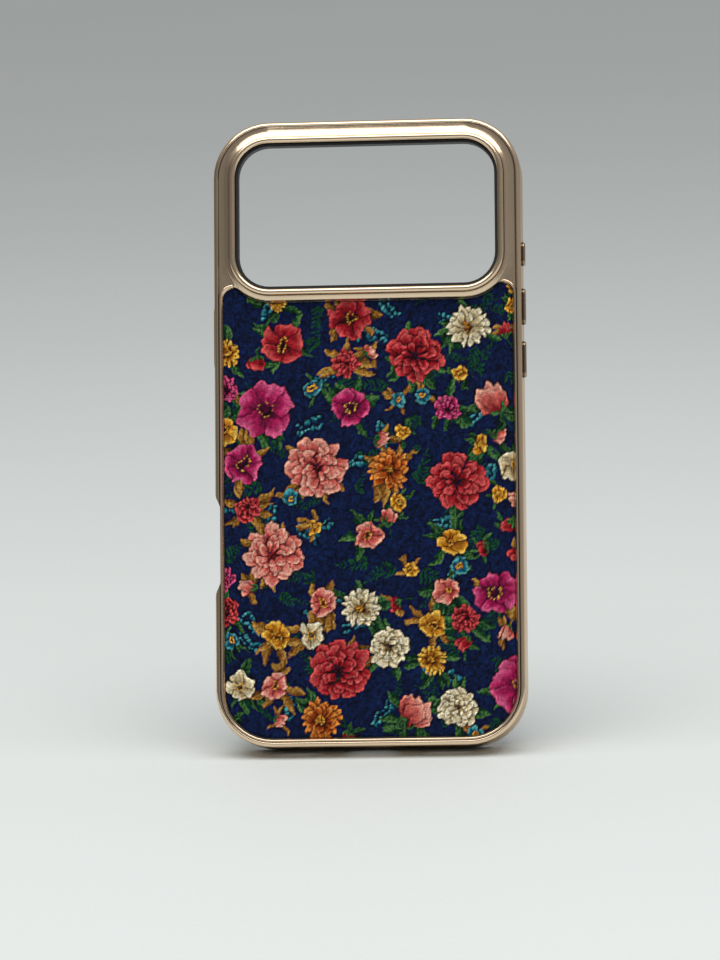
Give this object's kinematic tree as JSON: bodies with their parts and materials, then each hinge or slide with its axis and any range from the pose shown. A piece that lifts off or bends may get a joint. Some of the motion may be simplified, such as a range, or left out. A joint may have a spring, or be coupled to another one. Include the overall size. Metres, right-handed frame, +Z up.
{
  "type": "phone case",
  "caption": "Upright hard phone case: champagne plated frame and camera ring, printed fabric back, soft inner sleeve, finger notch and sprung side keys.",
  "frame": {"origin": "middle of the seat inside the case that the phone's back lies on", "axes": "+Z up towards the camera end, +Y out of the open screen side, +X towards the volume keys"},
  "size_m": [0.0838, 0.0153, 0.1676],
  "materials": {
    "frame_plating": "satin champagne electroplating on moulded plastic",
    "ring_plating": "satin champagne electroplating on moulded plastic",
    "key_plating": "satin champagne electroplating on moulded plastic",
    "sleeve_rubber": "matt black thermoplastic rubber",
    "pad_rubber": "matt dark grey thermoplastic rubber",
    "board_plastic": "plain moulded board",
    "printed_fabric": "woven navy fabric with a printed flower pattern",
    "lining_fabric": "short napped microfibre"
  },
  "bodies": {
    "case": {"bumper_frame": "frame_plating", "camera_ring": "ring_plating", "inner_sleeve": "sleeve_rubber", "back_board": "board_plastic", "fabric_panel": "printed_fabric", "microfibre_lining": "lining_fabric"},
    "action_key": {"action_key": "key_plating", "action_key_pad": "pad_rubber"},
    "volume_up_key": {"volume_up_key": "key_plating", "volume_up_key_pad": "pad_rubber"},
    "volume_down_key": {"volume_down_key": "key_plating", "volume_down_key_pad": "pad_rubber"},
    "side_key": {"side_key": "key_plating", "side_key_pad": "pad_rubber"}
  },
  "joints": [
    {"name": "action_key_press", "type": "slide", "parent": "case", "child": "action_key", "axis": [-1, 0, 0], "range_m": [0, 0.0003], "stiffness_N_per_m": 1500},
    {"name": "volume_up_key_press", "type": "slide", "parent": "case", "child": "volume_up_key", "axis": [-1, 0, 0], "range_m": [0, 0.0003], "stiffness_N_per_m": 1500},
    {"name": "volume_down_key_press", "type": "slide", "parent": "case", "child": "volume_down_key", "axis": [-1, 0, 0], "range_m": [0, 0.0003], "stiffness_N_per_m": 1500},
    {"name": "side_key_press", "type": "slide", "parent": "case", "child": "side_key", "axis": [1, 0, 0], "range_m": [0, 0.0003], "stiffness_N_per_m": 1500}
  ]
}
